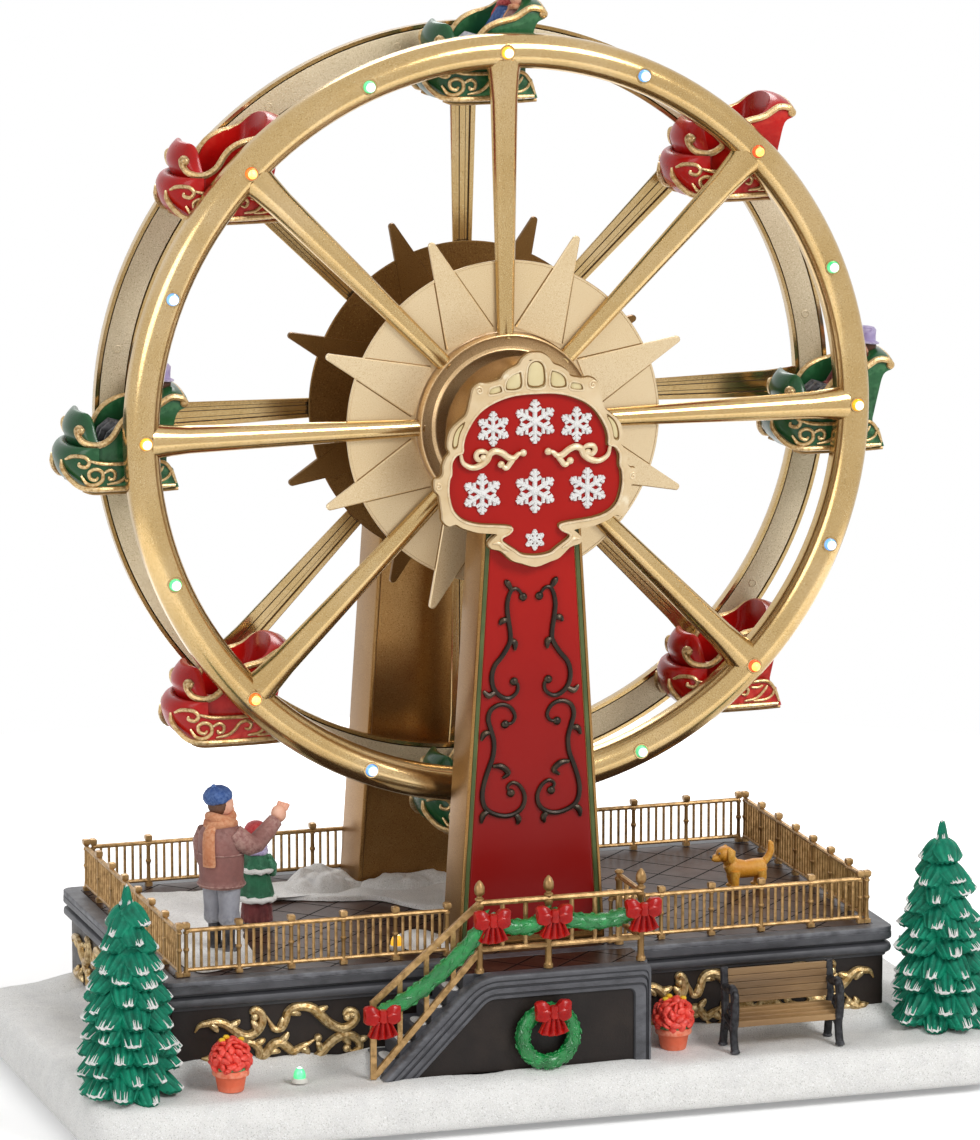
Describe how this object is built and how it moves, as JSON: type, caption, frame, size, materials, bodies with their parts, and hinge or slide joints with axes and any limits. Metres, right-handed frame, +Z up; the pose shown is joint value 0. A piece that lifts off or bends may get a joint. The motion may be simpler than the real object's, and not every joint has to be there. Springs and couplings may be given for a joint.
{
  "type": "christmas village ferris wheel",
  "caption": "Lit ferris wheel decoration: hanging sleighs turn between two spoked rings on a railed deck over a snowy base with trees, bench and figures.",
  "frame": {"origin": "on the table, under the middle of the snow base", "axes": "+X to the right seen from the front, +Y to the back along the wheel's axle, +Z up"},
  "size_m": [0.3866, 0.21, 0.4489],
  "materials": {
    "snow": "white glitter snow on a moulded tray",
    "black_plastic": "fine texture",
    "foot_rubber": "matt",
    "plinth_paint": "dark paint with gold brushed relief",
    "deck_paint": "brown boards under a satin coat",
    "gold_paint": "champagne gold metallic paint",
    "pale_gold": "pale gold metallic paint",
    "slate_paint": "grey paint, dry brushed",
    "garland_green": "glittered green with red bows",
    "tree_green": "bristle texture with white tips",
    "pot_paint": "red and orange paint",
    "bench_paint": "brown slats and black ends",
    "lamp_lens": "clear tinted lens, lit",
    "figure_paint": "hand painted cast resin",
    "red_panel": "gloss red with bronze scrolls",
    "cream_gold": "pale gold frame, red field",
    "white_plastic": "natural moulded",
    "motor_steel": "gearbox case with a plated can",
    "axle_steel": "turned",
    "slip_brass": "turned",
    "sleigh_green": "gloss green with gold scrolls",
    "sleigh_red": "gloss red with gold scrolls"
  },
  "bodies": {
    "stand": {"snow_base": "snow", "bottom_cover": "black_plastic", "foot_front_left": "foot_rubber", "foot_front_right": "foot_rubber", "foot_back_left": "foot_rubber", "foot_back_right": "foot_rubber", "battery_tray": "black_plastic", "plinth": "plinth_paint", "deck_board": "deck_paint", "deck_snow": "snow", "rail_front_left": "gold_paint", "rail_front_right": "gold_paint", "rail_back": "gold_paint", "rail_left": "gold_paint", "rail_right": "gold_paint", "landing_block": "slate_paint", "rail_landing": "gold_paint", "garland": "garland_green", "wreath": "garland_green", "tree_left": "tree_green", "tree_right": "tree_green", "flowerpot_left": "pot_paint", "flowerpot_right": "pot_paint", "bench": "bench_paint", "lamp_green": "lamp_lens", "lamp_yellow": "lamp_lens", "man_figure": "figure_paint", "girl_figure": "figure_paint", "dog_figure": "figure_paint", "front_tower_shell": "gold_paint", "front_tower_back": "gold_paint", "front_tower_panel": "red_panel", "sign_board": "cream_gold", "front_bearing": "white_plastic", "brush_block": "white_plastic", "rear_tower_shell": "gold_paint", "rear_tower_cover": "gold_paint", "rear_bearing": "white_plastic", "gear_motor": "motor_steel"},
    "wheel": {"front_ring": "gold_paint", "rear_ring": "gold_paint", "front_ring_cover": "gold_paint", "rear_ring_cover": "gold_paint", "front_sunburst": "pale_gold", "rear_sunburst": "pale_gold", "front_lamp_string": "lamp_lens", "main_axle": "axle_steel", "slip_ring": "slip_brass", "drive_gear": "white_plastic"},
    "pinion": {"motor_pinion": "white_plastic"},
    "sleigh_body_1": {"sleigh_1": "sleigh_green"},
    "sleigh_body_2": {"sleigh_2": "sleigh_red"},
    "sleigh_body_3": {"sleigh_3": "sleigh_green"},
    "sleigh_body_4": {"sleigh_4": "sleigh_red"},
    "sleigh_body_5": {"sleigh_5": "sleigh_green"},
    "sleigh_body_6": {"sleigh_6": "sleigh_red"},
    "sleigh_body_7": {"sleigh_7": "sleigh_green"},
    "sleigh_body_8": {"sleigh_8": "sleigh_red"},
    "door": {"battery_door": "black_plastic"},
    "switch": {"power_switch": "black_plastic"}
  },
  "joints": [
    {"name": "wheel_spin", "type": "hinge", "parent": "stand", "child": "wheel", "pos_m": [0.0045, 0.0154, 0.27], "axis": [0, 1, 0], "continuous": true},
    {"name": "pinion_spin", "type": "hinge", "parent": "stand", "child": "pinion", "pos_m": [0.0045, 0.0665, 0.24375], "axis": [0, 1, 0], "continuous": true},
    {"name": "sleigh_1_hang", "type": "hinge", "parent": "wheel", "child": "sleigh_body_1", "pos_m": [0.0045, 0.0154, 0.42], "axis": [0, 1, 0], "continuous": true},
    {"name": "sleigh_2_hang", "type": "hinge", "parent": "wheel", "child": "sleigh_body_2", "pos_m": [0.11057, 0.0154, 0.37607], "axis": [0, 1, 0], "continuous": true},
    {"name": "sleigh_3_hang", "type": "hinge", "parent": "wheel", "child": "sleigh_body_3", "pos_m": [0.1545, 0.0154, 0.27], "axis": [0, 1, 0], "continuous": true},
    {"name": "sleigh_4_hang", "type": "hinge", "parent": "wheel", "child": "sleigh_body_4", "pos_m": [0.11057, 0.0154, 0.16393], "axis": [0, 1, 0], "continuous": true},
    {"name": "sleigh_5_hang", "type": "hinge", "parent": "wheel", "child": "sleigh_body_5", "pos_m": [0.0045, 0.0154, 0.12], "axis": [0, 1, 0], "continuous": true},
    {"name": "sleigh_6_hang", "type": "hinge", "parent": "wheel", "child": "sleigh_body_6", "pos_m": [-0.10157, 0.0154, 0.16393], "axis": [0, 1, 0], "continuous": true},
    {"name": "sleigh_7_hang", "type": "hinge", "parent": "wheel", "child": "sleigh_body_7", "pos_m": [-0.1455, 0.0154, 0.27], "axis": [0, 1, 0], "continuous": true},
    {"name": "sleigh_8_hang", "type": "hinge", "parent": "wheel", "child": "sleigh_body_8", "pos_m": [-0.10157, 0.0154, 0.37607], "axis": [0, 1, 0], "continuous": true},
    {"name": "door_slide", "type": "slide", "parent": "stand", "child": "door", "axis": [-1, 0, 0], "range_m": [0, 0.06]},
    {"name": "switch_slide", "type": "slide", "parent": "stand", "child": "switch", "axis": [1, 0, 0], "range_m": [0, 0.004]}
  ],
  "couplings": [
    {"joint": "pinion_spin", "follows": "wheel_spin", "ratio": -3.2},
    {"joint": "sleigh_1_hang", "follows": "wheel_spin", "ratio": -1},
    {"joint": "sleigh_2_hang", "follows": "wheel_spin", "ratio": -1},
    {"joint": "sleigh_3_hang", "follows": "wheel_spin", "ratio": -1},
    {"joint": "sleigh_4_hang", "follows": "wheel_spin", "ratio": -1},
    {"joint": "sleigh_5_hang", "follows": "wheel_spin", "ratio": -1},
    {"joint": "sleigh_6_hang", "follows": "wheel_spin", "ratio": -1},
    {"joint": "sleigh_7_hang", "follows": "wheel_spin", "ratio": -1},
    {"joint": "sleigh_8_hang", "follows": "wheel_spin", "ratio": -1}
  ]
}
